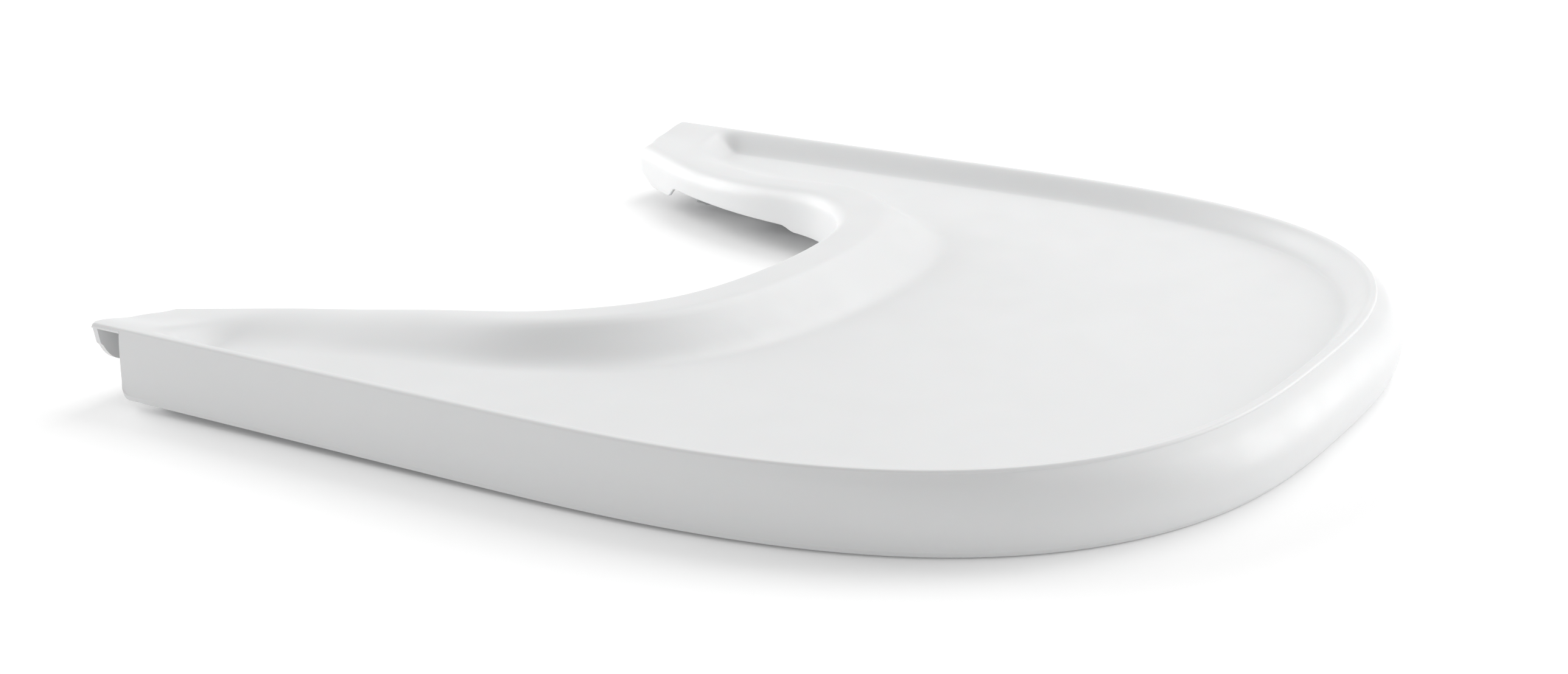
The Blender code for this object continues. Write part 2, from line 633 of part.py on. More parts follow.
def latch_pin(name, side):
    profile = ((1.9, COVER_Z0 - 0.3), (2.2, COVER_Z0), (2.2, GUIDE_TOP_Z + GAP), (4.0, GUIDE_TOP_Z + GAP),
               (4.0, GUIDE_TOP_Z + 1.4), (3.4, GUIDE_TOP_Z + 2.0))
    return turned(name, side * PIVOT[0], PIVOT[1], profile, "steel")


def latch_spring(name, side):
    """A compression spring from the lever's seat to the wall of the guide."""
    coil, wire, turns, per_turn, sides = 2.6, 0.45, 6.0, 8, 5
    x0, x1 = SPRING_SEAT_X + GAP + wire, GUIDE_X0 - GAP - wire
    steps = int(turns * per_turn)
    points = []
    for i in range(steps + 1):
        angle = 2 * math.pi * i / per_turn
        centre = np.array((x0 + (x1 - x0) * i / steps, SPRING_Y + coil * math.cos(angle),
                           SPRING_Z + coil * math.sin(angle)))
        ahead = np.array(((x1 - x0) / (turns * 2 * math.pi), -coil * math.sin(angle), coil * math.cos(angle)))
        ahead /= np.linalg.norm(ahead)
        radial = np.array((0.0, math.cos(angle), math.sin(angle)))
        third = np.cross(ahead, radial)
        for k in range(sides):
            turn = 2 * math.pi * k / sides
            x, y, z = centre + wire * (math.cos(turn) * radial + math.sin(turn) * third)
            points.append((side * x, y, z))
    faces = [tuple(range(sides)), tuple(reversed(range(steps * sides, (steps + 1) * sides)))]
    for i in range(steps):
        for k in range(sides):
            m = (k + 1) % sides
            faces.append((i * sides + k, (i + 1) * sides + k, (i + 1) * sides + m, i * sides + m))
    return mesh_object(name, points, faces, "steel")


def rail_pad(name, side):
    outline = mirrored(rounded_box(212.0, 84.0, 224.0, 208.0, 2.0), side)
    return prism(name, outline, FLANGE_BOTTOM_Z - GAP - 1.3, FLANGE_BOTTOM_Z - GAP, "rubber")


def rail_stop(name, side):
    outline = mirrored(rounded_box(SLOT_X0 + GAP, 73.0, SLOT_X1 - GAP, 80.0, 1.0), side)
    return prism(name, outline, LIP_TOP_Z + GAP, FLANGE_BOTTOM_Z - GAP, "rubber")


def foot(name, side, y):
    outline = mirrored(rounded_box(204.0, y - 12.0, 210.2, y + 12.0, 2.0), side)
    return prism(name, outline, 0.0, GUIDE_BOTTOM_Z - GAP, "rubber")


def arm_fittings(label, side):
    rail_guide(label + "_rail_guide", side)
    rail_pad(label + "_rail_pad", side)
    rail_stop(label + "_rail_stop", side)
    latch_lever(label + "_latch_lever", side)
    latch_pin(label + "_latch_pin", side)
    latch_spring(label + "_latch_spring", side)
    latch_cover(label + "_latch_cover", side)
    for i, y in enumerate(FOOT_YS, 1):
        foot(f"{label}_foot_{i}", side, y)
    for i, (x, y) in enumerate(GUIDE_SCREWS, 1):
        screw(f"{label}_guide_screw_{i}", side * x, y, FLANGE_BOTTOM_Z - GAP, 3.3, 1.6, 20.0)
    for i, (x, y) in enumerate(COVER_POSTS, 1):
        screw(f"{label}_cover_screw_{i}", side * x, y, COVER_Z0 - GAP, 2.6, 1.2, GUIDE_TOP_Z - 0.4)


def main():
    for old in list(bpy.data.objects):
        bpy.data.objects.remove(old)
    tray_shell()
    arm_fittings("right", 1)
    arm_fittings("left", -1)


main()
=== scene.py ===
"""The finished look of the clip-on tray for a high chair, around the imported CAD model.

The tray's shell is lofted again at a fine pitch from the same design as the CAD model, with its
small radii, parting bead, ribs and bosses. The fittings under the arms get their edge radii,
grip ridges, screw recesses and treads. Lengths below are in millimetres, in the part's own
frame, and are turned into metres once, in to_metres.
"""
import math

import bmesh
import bpy
import numpy as np
from mathutils import Matrix, Vector


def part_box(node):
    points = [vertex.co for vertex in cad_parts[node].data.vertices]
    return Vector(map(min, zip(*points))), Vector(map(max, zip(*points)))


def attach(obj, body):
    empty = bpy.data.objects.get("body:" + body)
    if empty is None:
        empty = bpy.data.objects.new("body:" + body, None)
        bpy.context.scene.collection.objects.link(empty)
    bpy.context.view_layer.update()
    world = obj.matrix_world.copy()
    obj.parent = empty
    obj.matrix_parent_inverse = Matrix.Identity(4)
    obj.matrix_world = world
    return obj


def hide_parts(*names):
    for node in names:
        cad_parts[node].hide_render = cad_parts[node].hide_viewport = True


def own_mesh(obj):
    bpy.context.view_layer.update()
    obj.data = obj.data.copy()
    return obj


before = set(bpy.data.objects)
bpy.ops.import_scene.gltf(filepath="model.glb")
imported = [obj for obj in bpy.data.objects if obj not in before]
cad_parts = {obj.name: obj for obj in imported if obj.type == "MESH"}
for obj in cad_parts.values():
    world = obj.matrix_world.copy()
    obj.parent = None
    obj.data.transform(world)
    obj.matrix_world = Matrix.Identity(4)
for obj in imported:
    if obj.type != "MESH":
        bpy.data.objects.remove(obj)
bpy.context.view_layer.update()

MM = 0.001
ORIGIN_Y = -3.0           # the frame's origin, in the part's own Y

# Outline of the rim's crest, in plan
HALF_WIDTH = 232.0
BACK_Y = 243.5            # straight back edges of the two arms
FRONT_Y = -235.0
STRAIGHT_TO_Y = 40.0      # the sides are straight behind this line
SIDE_POWER = 2.8          # superellipse powers of the rounded front
FRONT_POWER = 3.0

# Edge of the cut-out for the child, from the middle to the arm's back edge
CUTOUT_POINTS = ((0, 33), (36, 35), (66, 41), (88, 51), (105, 66), (117, 84), (124, 106),
                 (129, 129), (136, 152), (145, 174), (155, 194), (167, 213), (186, BACK_Y))
CORNER_RADIUS = 8.0       # where the cut-out's edge turns into the back edge

# Heights and walls
WALL_HEIGHT = 33.0        # crest to the wall's lower edge
BACK_LIFT = 4.0           # how much higher the crest is at the back than in front
RECESS_DEPTH = 11.0       # crest to the tray's floor
SKIN = 2.8                # thickness of the floor
WALL = 2.7                # thickness of the walls
CREST_RADIUS = 1.5
RIM_FLAT = 1.2            # level strip at the crest
RIM_RUN = 12.5            # plan width of the slope inside the rim
SHOULDER_RADIUS = 8.0     # rounded top of the wall round the cut-out
BACK_EDGE_RADIUS = 1.0
BACK_RADIUS_X = (190.0, 210.0)           # the radius changes along the back edge between these

# Hump round the cut-out and its slope down to the floor
HUMP_RISE = 4.6           # the hump is this much above the crest in front
HUMP_DROP = 3.9           # and this much below it at the ends of the arms
HUMP_FALL_Y = (40.0, 185.0)              # it falls between these
HUMP_TOP_FRONT, HUMP_TOP_ARM = 26.0, 19.0                         # cut-out's edge to the slope's top
HUMP_TOE_FRONT, HUMP_TOE_ARM, HUMP_TOE_END = 50.0, 45.0, 38.0     # and to its foot
ARM_FROM_TO_Y = (50.0, 160.0)            # the top's place changes from front to arm between these
TOE_ARM_Y, TOE_END_Y = (20.0, 60.0), (145.0, 195.0)               # and the foot's place between these
RIDGE_FRONT, RIDGE_ARM = 7.0, 18.0       # length over which the slope's top is rounded
TOE_BLEND = 12.0                         # and its foot
CROWN = 1.2               # how far the hump's top falls towards the cut-out
RIM_FADE = 1.6            # how soon the hump's height is lost towards the rim
RECESS_END_Y = 210.0      # the recess ends before the arm does, on a slant, here at this x
RECESS_END_X = 205.0
RECESS_END_SLANT = 0.1
RECESS_END_RUN = 13.0
RECESS_END_BLEND = 6.0

# Outer wall and lower edges
SIDE_BULGE = 1.6          # how far the wall stands out below the crest
FRONT_BULGE = 19.0
BULGE_FROM_TO = (300.0, 560.0)           # along the rim, from the arm's back edge
WALL_END_Y = 226.5        # the side wall ends before the arm does
WALL_END_RADIUS = 3.0
INNER_WALL_DROP = 22.5    # crest to the lower edge of the wall round the cut-out
ARM_WALL_DROP = 26.5      # the same near the ends of the arms
NOTCH_DROP = 20.0         # the same in the shallow finger notch
NOTCH_FROM_Y, NOTCH_TO_Y = 98.0, 199.0
NOTCH_RUN = 9.0
END_WALL_DROP = 20.5      # crest to the lower edge of the arm's end wall
END_DROP_Y = (226.0, 242.0)              # the cut-out's wall takes that height between these
END_WALL_CORNER_X = 218.0                # from here the end wall's edge curves up to the corner

# Small radii and the parting bead, which only the finished surface has
FOOT_RADIUS = 0.9         # lower outer edge of every wall
INSIDE_RADIUS = 0.6       # lower inner edge
BEAD_ABOVE_EDGE = 2.4
BEAD_HALF_WIDTH = 0.7
BEAD_HEIGHT = 0.22

# Underside
RIB_BOTTOM_Z = 13.5
RIB_THICKNESS = 2.0
RIB_XS, RIB_YS = (-140, -70, 0, 70, 140), (-120.0, -60.0)
CROSS_RIB_X = 172.0
BOSS_RADIUS, BOSS_HOLE, BOSS_FILLET = 4.2, 1.9, 1.6
GUIDE_X0 = 203.5
GUIDE_TOP_Z = 15.2
FLANGE_BOTTOM_Z = 12.8
PIVOT = (190.0, 158.0)
PADDLE_X, PADDLE_Z = 158.5, (8.4, 17.8)
PADDLE_RIDGES = (107.0, 143.0, 5.0)      # from, to and pitch, along the paddle
PADDLE_RIDGE_RADIUS, PADDLE_RIDGE_SUNK = 0.75, 0.35
COVER_Z0 = 4.6
GAP = 0.3                 # between pieces that touch
GUIDE_SCREWS = ((190.0, 80.0), (190.0, 112.0), (188.0, 208.0))
COVER_POSTS = ((196.0, 142.0), (184.0, 193.0))
SPRING_Y, SPRING_Z = 126.0, 9.7
SPRING_SEAT_X = 176.0
SPRING_COIL, SPRING_WIRE, SPRING_TURNS = 2.6, 0.45, 7.5
FOOT_YS = (92.0, 196.0)
MOULDED_EDGE, SOFT_EDGE = 0.35, 0.5      # edge radii of the guide and cover, and of lever and stop


# ---------------------------------------------------------------- mesh helpers

def to_metres(x, y, z):
    return (x * MM, (y - ORIGIN_Y) * MM, z * MM)


def finished(name, mesh, body, slot, *nodes):
    """An object for the mesh that rides on a body and stands for the CAD nodes named."""
    piece = bpy.data.objects.new(name, mesh)
    bpy.context.scene.collection.objects.link(piece)
    mesh.materials.clear()
    mesh.materials.append(MATERIALS[slot])
    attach(piece, body)
    if nodes:
        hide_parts(*nodes)
    return piece


def new_mesh(name, points, faces, sharp_degrees=35):
    """A smooth-shaded mesh from points in millimetres."""
    mesh = bpy.data.meshes.new(name)
    mesh.from_pydata([to_metres(*p) for p in points], [], faces)
    shaped = bmesh.new()
    shaped.from_mesh(mesh)
    bmesh.ops.remove_doubles(shaped, verts=shaped.verts, dist=0.000002)
    bmesh.ops.recalc_face_normals(shaped, faces=shaped.faces)
    shaped.to_mesh(mesh)
    shaped.free()
    mesh.shade_smooth()
    mesh.set_sharp_from_angle(angle=math.radians(sharp_degrees))
    return mesh


def evaluated(mesh, *modifiers):
    """The mesh after modifiers, each given as (type, {property: value})."""
    helper = bpy.data.objects.new("helper", mesh)
    bpy.context.scene.collection.objects.link(helper)
    for kind, settings in modifiers:
        step = helper.modifiers.new(kind, kind)
        for key, value in settings.items():
            setattr(step, key, value)
    bpy.context.view_layer.update()
    graph = bpy.context.evaluated_depsgraph_get()
    result = bpy.data.meshes.new_from_object(helper.evaluated_get(graph))
    bpy.data.objects.remove(helper)
    return result


def joined(name, meshes):
    """One mesh that holds the bodies of several."""
    whole = bmesh.new()
    for mesh in meshes:
        whole.from_mesh(mesh)
    result = bpy.data.meshes.new(name)
    whole.to_mesh(result)
    whole.free()
    return result


def rounded(node, radius, segments=3):
    """The CAD node's shape with every hard edge rounded."""
    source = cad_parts[node].data
    mesh = bpy.data.meshes.new(node + "_rounded")
    mesh.from_pydata([v.co for v in source.vertices], [], [tuple(p.vertices) for p in source.polygons])
    shaped = bmesh.new()
    shaped.from_mesh(mesh)
    bmesh.ops.remove_doubles(shaped, verts=shaped.verts, dist=0.000004)
    bmesh.ops.dissolve_limit(shaped, angle_limit=math.radians(2), verts=shaped.verts, edges=shaped.edges)
    shaped.to_mesh(mesh)
    shaped.free()
    mesh.shade_smooth()
    bevel = {"width": radius * MM, "segments": segments, "limit_method": "ANGLE",
             "angle_limit": math.radians(40), "use_clamp_overlap": True}
    return evaluated(mesh, ("BEVEL", bevel), ("WEIGHTED_NORMAL", {"keep_sharp": True}))


def lofted(name, rings, sharp_degrees=35):
    """A mesh through closed rings of points, all with the same count, capped at both ends."""
    size = len(rings[0])
    points = [p for ring in rings for p in ring]
    faces = [tuple(reversed(range(size))), tuple(range(len(points) - size, len(points)))]
    for start in range(0, len(points) - size, size):
        for j in range(size):
            k = (j + 1) % size
            faces.append((start + j, start + k, start + size + k, start + size + j))
    return new_mesh(name, points, faces, sharp_degrees)


def turned(x, y, profile, count=40):
    """A solid turned about a vertical axis from (radius, z) pairs, lowest first."""
    turns = [2 * math.pi * i / count for i in range(count)]
    return lofted("turned", [[(x + radius * math.cos(a), y + radius * math.sin(a), z) for a in turns]
                             for radius, z in profile])


# ---------------------------------------------------------------- outlines in plan

def smooth(t):
    t = min(1.0, max(0.0, t))
    return t * t * (3 - 2 * t)


def rise(value, span):
    """From 0 at the start of the span to 1 at its end, level at both."""
    return smooth((value - span[0]) / (span[1] - span[0]))


def rim_outline():
    """The right half of the crest, from the arm's back corner to the middle of the front."""
    points = [(HALF_WIDTH, y) for y in np.linspace(BACK_Y, STRAIGHT_TO_Y, 60)]
    depth = STRAIGHT_TO_Y - FRONT_Y
    for angle in np.linspace(0, math.pi / 2, 400)[1:]:
        x = HALF_WIDTH * max(0.0, math.cos(angle)) ** (2 / SIDE_POWER)
        points.append((x, STRAIGHT_TO_Y - depth * math.sin(angle) ** (2 / FRONT_POWER)))
    return np.array(points)


def spline(points, steps=30):
    """A natural cubic through the points; it is level at the first, in the middle of the tray."""
    points = np.array(points, float)
    gaps = np.hypot(*np.diff(points, axis=0).T)
    count = len(points)
    system = np.zeros((count, count))
    right = np.zeros((count, 2))
    system[0, 0] = 1
    right[0] = (1, 0)
    system[-1, -1], system[-1, -2] = 2, 1
    right[-1] = 3 * (points[-1] - points[-2]) / gaps[-1]
    for i in range(1, count - 1):
        before, after = gaps[i - 1], gaps[i]
        system[i, i - 1:i + 2] = after, 2 * (before + after), before
        right[i] = 3 * (after * (points[i] - points[i - 1]) / before
                        + before * (points[i + 1] - points[i]) / after)
    slopes = np.linalg.solve(system, right)
    drawn = []
    for i in range(count - 1):
        for t in np.linspace(0, 1, steps, endpoint=False):
            drawn.append((2 * t**3 - 3 * t**2 + 1) * points[i] + (3 * t**2 - 2 * t**3) * points[i + 1]
                         + gaps[i] * ((t**3 - 2 * t**2 + t) * slopes[i] + (t**3 - t**2) * slopes[i + 1]))
    drawn.append(points[-1])
    return np.array(drawn)


def cutout_outline():
    """The right half of the cut-out's edge, from the middle to the end of the round corner."""
    side = spline(CUTOUT_POINTS)
    along = side[-1] - side[-8]
    along /= np.hypot(*along)
    turn = math.atan2(along[1], along[0])
    centre_y = BACK_Y - CORNER_RADIUS
    normal = np.array((along[1], -along[0]))
    reach = (centre_y - side[-1][1] - normal[1] * CORNER_RADIUS) / along[1]
    centre = side[-1] + along * reach + normal * CORNER_RADIUS
    touch = centre - normal * CORNER_RADIUS
    kept = [p for p in side if p[1] < touch[1] - 1.0]
    start = math.pi / 2 + turn
    arc = [centre + CORNER_RADIUS * np.array((math.cos(a), math.sin(a)))
           for a in np.linspace(start, math.pi / 2, 24)]
    return np.array(kept + arc)


RIM = rim_outline()
CUTOUT = cutout_outline()
EDGE = np.vstack((CUTOUT, (HALF_WIDTH + CREST_RADIUS, BACK_Y)))


def nearest(outline, points):
    """The distance from each point to the outline, and the nearest point on it."""
    points = np.asarray(points, float)
    starts, ends = outline[:-1], outline[1:]
    runs = ends - starts
    spans = (runs ** 2).sum(1)
    share = ((points[:, None] - starts) * runs).sum(2) / spans
    share = np.clip(share, 0, 1)
    feet = starts + share[..., None] * runs
    gaps = np.hypot(*(points[:, None] - feet).transpose(2, 0, 1))
    best = gaps.argmin(1)
    rows = np.arange(len(points))
    return gaps[rows, best], feet[rows, best]


def arc_lengths(outline):
    return np.concatenate(([0.0], np.cumsum(np.hypot(*np.diff(outline, axis=0).T))))


def point_at(outline, lengths, distance):
    return np.array((np.interp(distance, lengths, outline[:, 0]),
                     np.interp(distance, lengths, outline[:, 1])))


def cutout_x(y, inward=0.0):
    """Where the cut-out's edge, moved inward by the wall, crosses the line at y."""
    runs = np.gradient(CUTOUT, axis=0)
    runs /= np.hypot(*runs.T)[:, None]
    moved = CUTOUT + inward * np.column_stack((runs[:, 1], -runs[:, 0]))
    rising = moved[:, 1] > STRAIGHT_TO_Y
    return float(np.interp(y, moved[rising][:, 1], moved[rising][:, 0]))


# ---------------------------------------------------------------- heights of the shell

def crest_z(y):
    return WALL_HEIGHT + BACK_LIFT * (y - FRONT_Y) / (BACK_Y - FRONT_Y)


def edge_radius(foot_x, foot_y):
    """Radius of the top edge: generous round the cut-out, fine along the arm's back edge."""
    if foot_y < BACK_Y - CORNER_RADIUS:
        return SHOULDER_RADIUS
    return SHOULDER_RADIUS + (BACK_EDGE_RADIUS - SHOULDER_RADIUS) * rise(foot_x, BACK_RADIUS_X)


def ramp(reach, start, end, top_blend, toe_blend):
    """From 0 at the start to 1 at the end in a straight slope, rounded over a length at each."""
    def bend(past, blend):
        if past <= -blend / 2:
            return 0.0
        return past if past >= blend / 2 else (past + blend / 2) ** 2 / (2 * blend)
    return (bend(reach - start, top_blend) - bend(reach - end, toe_blend)) / (end - start)


def surface(points):
    """Height of the top surface above the crest, and how much its rounded edge takes off."""
    from_rim, _ = nearest(RIM, points)
    from_edge, feet = nearest(EDGE, points)
    from_cutout, _ = nearest(CUTOUT, points)
    heights = []
    for (x, y), rim, edge, foot, inner in zip(points, from_rim, from_edge, feet, from_cutout):
        on_arm = rise(y, ARM_FROM_TO_Y)
        hump = HUMP_RISE - (HUMP_RISE + HUMP_DROP) * rise(y, HUMP_FALL_Y)
        top = HUMP_TOP_FRONT + (HUMP_TOP_ARM - HUMP_TOP_FRONT) * on_arm
        toe = (HUMP_TOE_FRONT + (HUMP_TOE_ARM - HUMP_TOE_FRONT) * rise(y, TOE_ARM_Y)
               + (HUMP_TOE_END - HUMP_TOE_ARM) * rise(y, TOE_END_Y))
        ridge = RIDGE_FRONT + (RIDGE_ARM - RIDGE_FRONT) * on_arm
        fade = smooth(RIM_FADE * rim / (rim + inner + 0.01))
        base = hump * fade - CROWN * max(0.0, 1 - inner / top) ** 2
        before_end = RECESS_END_Y + RECESS_END_SLANT * (abs(x) - RECESS_END_X) - y
        recess = (smooth((rim - RIM_FLAT) / RIM_RUN) * ramp(inner, top, toe, ridge, TOE_BLEND)
                  * ramp(before_end, 0, RECESS_END_RUN, RECESS_END_BLEND, RECESS_END_BLEND))
        height = base - (RECESS_DEPTH + base) * recess
        radius = edge_radius(*foot)
        rounding = 0.0
        if edge < radius:
            rounding = radius - math.sqrt(radius ** 2 - (radius - edge) ** 2)
        heights.append((height, rounding))
    return heights


def bulge(along, share):
    """How far the outer wall stands out, at a share of its height below the crest."""
    amount = SIDE_BULGE + (FRONT_BULGE - SIDE_BULGE) * rise(along, BULGE_FROM_TO)
    return amount * (2.18 * share - 1.68 * share ** 2)


def inner_wall_drop(y):
    """From the crest to the lower edge of the wall round the cut-out."""
    notch = smooth((y - NOTCH_FROM_Y) / NOTCH_RUN) * smooth((NOTCH_TO_Y + NOTCH_RUN - y) / NOTCH_RUN)
    beside = INNER_WALL_DROP if y < (NOTCH_FROM_Y + NOTCH_TO_Y) / 2 else ARM_WALL_DROP
    drop = beside + (NOTCH_DROP - beside) * notch
    end = rise(y, END_DROP_Y)
    return drop + (END_WALL_DROP - drop) * end


def end_wall_drop(x):
    """From the crest to the lower edge of the arm's end wall, which curves up at the outside."""
    if x <= END_WALL_CORNER_X:
        return END_WALL_DROP
    share = min(1.0, (x - END_WALL_CORNER_X) / (HALF_WIDTH - END_WALL_CORNER_X))
    return SKIN + (END_WALL_DROP - SKIN) * math.sqrt(1 - share ** 2)


def wall_drop(y):
    """From the crest to the side wall's lower edge, with the round corner at the wall's end."""
    if y > WALL_END_Y:
        return SKIN
    into = y - (WALL_END_Y - WALL_END_RADIUS)
    if into <= 0:
        return WALL_HEIGHT
    return WALL_HEIGHT - WALL_END_RADIUS + math.sqrt(WALL_END_RADIUS ** 2 - into ** 2)


# ---------------------------------------------------------------- the shell

RIM_LINES = (0.4, 0.8, 1.2, 1.8, 2.6, 3.6, 4.8, 6.2, 7.8, 9.4, 11.0, 12.6, 14.0, 15.5)
SHOULDER_LINES = (0.0, 0.15, 0.5, 1.1, 2.1, 3.5, 5.0, 6.7, 8.2)
EDGE_LINES = SHOULDER_LINES + tuple(np.arange(10.5, 70, 2.7))
FLOOR_LINES = 6
FLOOR_LEFT = 8.0          # least width between the rim's lines and the edge's
UNDER_RIM_LINES, UNDER_EDGE_LINES = 3, 6     # the underside starts at these lines
LEAST_RIM_SLANT, LEAST_EDGE_SLANT = 0.6, 0.75
CREST_STEPS = 6
ROUND_STEPS = 4


def station_ends():
    """The two ends of each section across the right half: a place on the rim and on the edge."""
    back = [BACK_Y - d for d in (0, 0.12, 0.35, 0.7, 1.1, 1.8, WALL, WALL + 0.05, 4, 5.5, 7, 8.5, 11, 14)]
    wall_end = [WALL_END_Y + 0.05] + [WALL_END_Y - WALL_END_RADIUS * (1 - math.cos(math.pi / 2 * i / 6))
                                      for i in range(7)]
    arm = list(np.linspace(220, 206, 6)) + list(np.linspace(204, 98, 38)) + [94.0, 90.0]
    rim_lengths = arc_lengths(RIM)
    cutout_lengths = arc_lengths(CUTOUT)
    ends = []
    for y in back + wall_end + arm:
        ends.append((np.array((HALF_WIDTH, y)), np.array((cutout_x(y), y)), BACK_Y - y))
    rim_from = BACK_Y - arm[-1]
    edge_from = float(np.interp(arm[-1], CUTOUT[:, 1], cutout_lengths))
    sections = 52
    for i in range(1, sections + 1):
        share = i / sections
        along = rim_from + (rim_lengths[-1] - rim_from) * share
        on_edge = point_at(CUTOUT, cutout_lengths, edge_from * (1 - share))
        ends.append((point_at(RIM, rim_lengths, along), on_edge, along))
    return ends


def outward(place):
    """Unit vector square to the rim at a place on it, pointing away from the tray."""
    if place[1] >= STRAIGHT_TO_Y:
        return np.array((1.0, 0.0))
    if place[0] < 0.01:
        return np.array((0.0, -1.0))
    x, y = place
    depth = STRAIGHT_TO_Y - FRONT_Y
    slope = np.array((SIDE_POWER * (x / HALF_WIDTH) ** (SIDE_POWER - 1) / HALF_WIDTH,
                      -FRONT_POWER * ((STRAIGHT_TO_Y - y) / depth) ** (FRONT_POWER - 1) / depth))
    return slope / np.hypot(*slope)


def quarter(radius, steps=ROUND_STEPS):
    """(inset, lift) pairs round a lower edge, from its underside to its upright face."""
    turns = [math.pi / 2 * i / steps for i in range(steps + 1)]
    return [(radius * (1 - math.sin(a)), radius * (1 - math.cos(a))) for a in turns]


def outer_wall(rim_place, out, along, drop, rounding):
    """Points up the outer wall: the round lower edge, the parting bead and the bulged face."""
    y = rim_place[1]
    radius = min(FOOT_RADIUS, (drop - CREST_RADIUS) * 0.6)
    has_bead = drop > WALL_HEIGHT / 2
    rows = [(drop - lift, -inset) for inset, lift in quarter(radius)]
    for step in (-1.0, -0.5, 0.0, 0.5, 1.0):
        depth = drop - BEAD_ABOVE_EDGE - step * BEAD_HALF_WIDTH if has_bead else drop - radius
        rows.append((depth, BEAD_HEIGHT * (1 - step ** 2) if has_bead else 0.0))
    top = rows[-1][0]
    rows += [(top + (CREST_RADIUS - top) * i / 10, 0.0) for i in range(1, 10)]
    points = []
    for depth, extra in rows:
        place = rim_place + out * (CREST_RADIUS + bulge(along, depth / WALL_HEIGHT) + extra)
        points.append((*place, crest_z(y) - depth - rounding * (1 - (depth / drop) ** 2)))
    return points


def section_lines(rim_place, edge_place, out):
    """A section's direction, how far along it each line lies, and its slant at the cut-out."""
    across = edge_place - rim_place
    width = np.hypot(*across)
    across /= width
    rim_slant = max(LEAST_RIM_SLANT, -float(across @ out))
    rim_reach = [a / rim_slant for a in RIM_LINES]
    index = int(np.abs(CUTOUT - nearest(CUTOUT, [edge_place])[1][0]).sum(1).argmin())
    run = np.gradient(CUTOUT, axis=0)[index]
    square = np.array((run[1], -run[0])) / np.hypot(*run)
    edge_slant = max(LEAST_EDGE_SLANT, abs(float(across @ square)))
    shoulder = SHOULDER_LINES[-1]
    wanted = EDGE_LINES[-1] / edge_slant
    squeeze = min(1.0, (width - rim_reach[-1] - FLOOR_LEFT - shoulder) / (wanted - shoulder))
    edge_reach = [b / edge_slant for b in EDGE_LINES]
    edge_reach = [b if b <= shoulder else shoulder + (b - shoulder) * squeeze for b in edge_reach]
    floor = list(np.linspace(rim_reach[-1], width - edge_reach[-1], FLOOR_LINES + 2)[1:-1])
    return across, rim_reach + floor + [width - b for b in reversed(edge_reach)], edge_slant


def crest(rim_place, out, rounding):
    """Points over the rim's crest, from its outer side to its top."""
    y = rim_place[1]
    points = []
    for i in range(CREST_STEPS + 1):
        turn = math.pi / 2 * i / CREST_STEPS
        place = rim_place + out * CREST_RADIUS * math.cos(turn)
        points.append((*place, crest_z(y) - CREST_RADIUS * (1 - math.sin(turn)) - rounding))
    return points


def inner_wall(edge_place, across, edge_slant, top, at_corner):
    """Points down the wall round the cut-out, from its top, to its lower inner edge."""
    low = crest_z(edge_place[1]) - inner_wall_drop(edge_place[1])
    points = [(*edge_place, top + (low + FOOT_RADIUS - top) * i / 5) for i in range(1, 6)]
    for inset, lift in reversed(quarter(FOOT_RADIUS)[:-1]):
        place = edge_place - across * inset / edge_slant
        points.append((*place, low + lift))
    inner_face = edge_place - across * WALL / edge_slant
    if at_corner:
        inner_face = np.array((cutout_x(edge_place[1], WALL), edge_place[1]))
    for inset, lift in quarter(INSIDE_RADIUS, 3):
        points.append((*(inner_face + across * inset), low + lift))
    return points


def underside(plan, solid_end):
    """Points under the floor, or under the solid wall at the arm's end."""
    points = []
    for place, (height, rounding) in zip(plan, surface(plan)):
        drop = end_wall_drop(place[0]) if solid_end else SKIN + rounding - height
        points.append((*place, crest_z(place[1]) - drop))
    return points


def outer_wall_inside(rim_place, out, along, drop, solid_end):
    """Points down the inner side of the outer wall, to its lower inner edge."""
    y = rim_place[1]
    face = rim_place + out * (CREST_RADIUS - WALL)
    top = end_wall_drop(face[0]) if solid_end else SKIN + 0.2
    has_wall = drop > SKIN + 1
    bottom = drop if has_wall else top
    radius = INSIDE_RADIUS if has_wall else 0.0
    rows = [(top + share * (bottom - radius - top), 0.0) for share in (0.0, 0.12, 0.3, 0.5, 0.7, 0.9)]
    rows += [(bottom - lift, inset) for inset, lift in reversed(quarter(radius, 3))]
    points = []
    for depth, inset in rows:
        place = face + out * (inset + bulge(along, depth / WALL_HEIGHT))
        points.append((*place, crest_z(y) - depth))
    return points


def section(rim_place, edge_place, along):
    """One closed loop of points round the shell's section."""
    out = outward(rim_place)
    y = rim_place[1]
    across, reaches, edge_slant = section_lines(rim_place, edge_place, out)
    plan = [rim_place + across * r for r in reaches]
    tops = surface(plan)
    back_rounding = tops[0][1]
    drop = wall_drop(y)
    solid_end = y >= BACK_Y - WALL
    at_corner = y > BACK_Y - CORNER_RADIUS - 2 and not solid_end
    loop = outer_wall(rim_place, out, along, drop, back_rounding)
    loop += crest(rim_place, out, back_rounding)
    for place, (height, rounding) in zip(plan, tops):
        loop.append((*place, crest_z(place[1]) + height - rounding))
    loop += inner_wall(edge_place, across, edge_slant, loop[-1][2], at_corner)
    last = len(reaches) - UNDER_EDGE_LINES
    loop += underside(list(reversed(plan[UNDER_RIM_LINES:last])), solid_end)
    return loop + outer_wall_inside(rim_place, out, along, drop, solid_end)


def shell_mesh():
    right = [section(*ends) for ends in station_ends()]
    left = [[(-x, y, z) for x, y, z in loop] for loop in reversed(right[:-1])]
    return lofted("shell", right + left)


def underside_z(x, y):
    (height, _), = surface([(abs(x), y)])
    return crest_z(y) + height - SKIN


